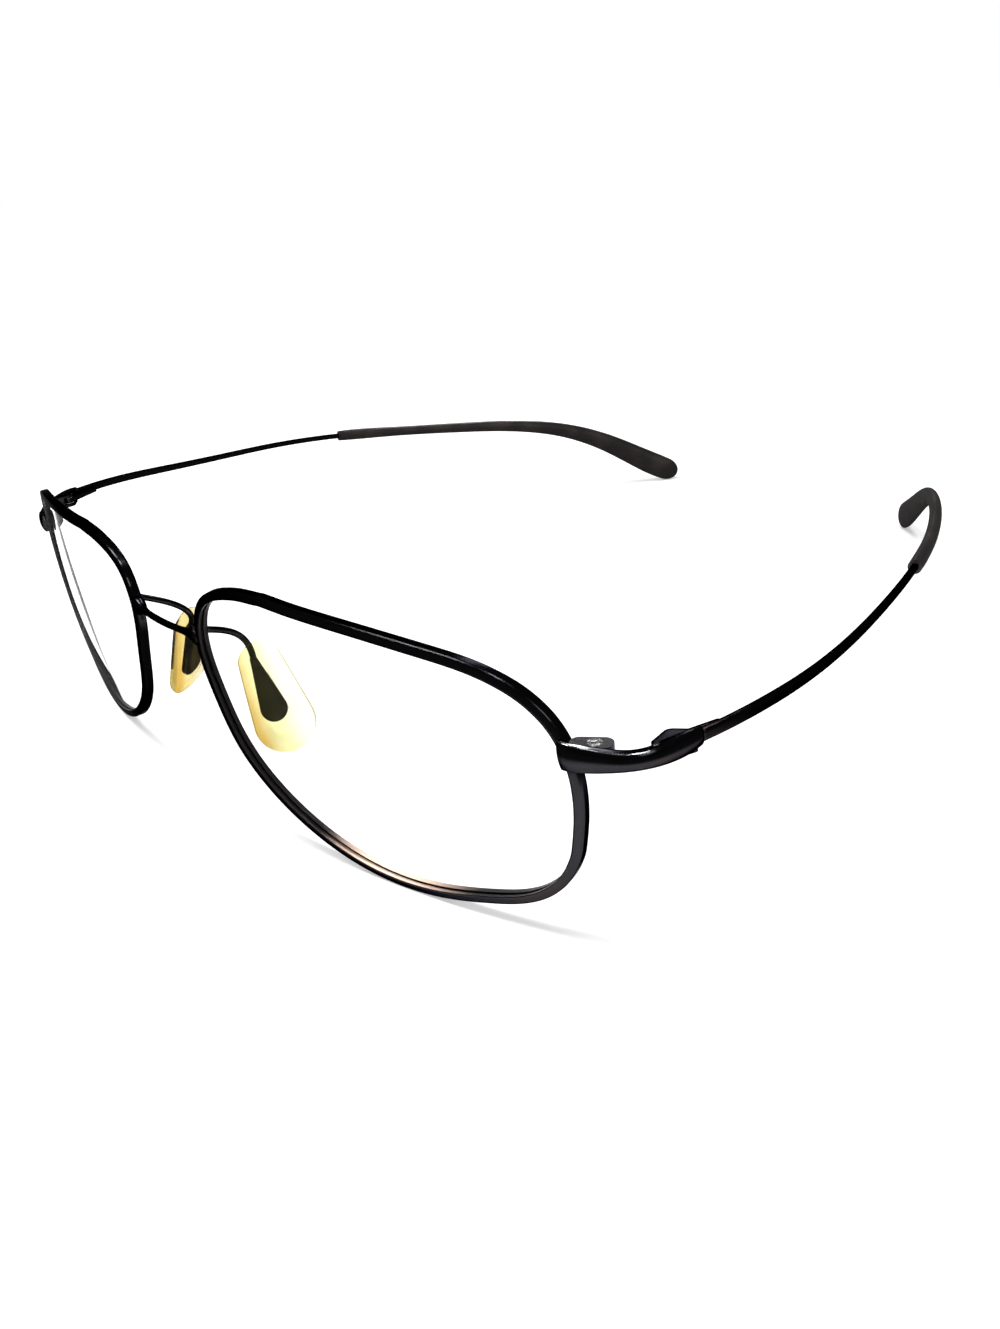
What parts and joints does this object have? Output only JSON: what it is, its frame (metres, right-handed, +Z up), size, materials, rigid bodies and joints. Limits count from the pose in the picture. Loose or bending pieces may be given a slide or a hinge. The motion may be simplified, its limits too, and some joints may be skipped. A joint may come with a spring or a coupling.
{
  "type": "eyeglasses",
  "caption": "Rectangular full-rim metal eyeglasses with clear lenses, soft nose pads on wire arms, and slim inward-bowed temples that fold on screwed hinges and end in plastic tips.",
  "frame": {"origin": "middle of the glasses in plan, at the level of the table they stand on with the temples open", "axes": "+X towards the wearer's left, +Y backwards from the lenses to the temple tips, +Z up past the top of the rims"},
  "size_m": [0.1412, 0.137, 0.0348],
  "materials": {
    "frame_metal": "glossy near-black gunmetal plating",
    "screw_metal": "dark plated steel with a bright slot",
    "pad_metal": "dark plated metal seen through the pad",
    "clear_lens": "clear and polished, with no tint",
    "soft_pad": "translucent yellowed soft plastic",
    "tip_plastic": "smooth brown-black, half gloss",
    "washer_nylon": "plain white"
  },
  "bodies": {
    "front": {"bridge": "frame_metal", "left_rim": "frame_metal", "left_lens": "clear_lens", "left_endpiece": "frame_metal", "left_upper_block": "frame_metal", "left_lower_block": "frame_metal", "left_pad_arm": "frame_metal", "left_pad_core": "pad_metal", "left_nose_pad": "soft_pad", "right_rim": "frame_metal", "right_lens": "clear_lens", "right_endpiece": "frame_metal", "right_upper_block": "frame_metal", "right_lower_block": "frame_metal", "right_pad_arm": "frame_metal", "right_pad_core": "pad_metal", "right_nose_pad": "soft_pad", "closing_screws": "screw_metal", "hinge_screws": "screw_metal", "hinge_washers": "washer_nylon"},
    "left_temple_body": {"left_temple": "frame_metal", "left_hinge_leaf": "frame_metal", "left_temple_tip": "tip_plastic"},
    "right_temple_body": {"right_temple": "frame_metal", "right_hinge_leaf": "frame_metal", "right_temple_tip": "tip_plastic"}
  },
  "joints": [
    {"name": "left_fold", "type": "hinge", "parent": "front", "child": "left_temple_body", "pos_m": [0.06772, -0.05046, 0.02471], "axis": [0, 0, 1], "range_deg": [0, 72]},
    {"name": "right_fold", "type": "hinge", "parent": "front", "child": "right_temple_body", "pos_m": [-0.06772, -0.05046, 0.02471], "axis": [0, 0, -1], "range_deg": [0, 69]}
  ]
}
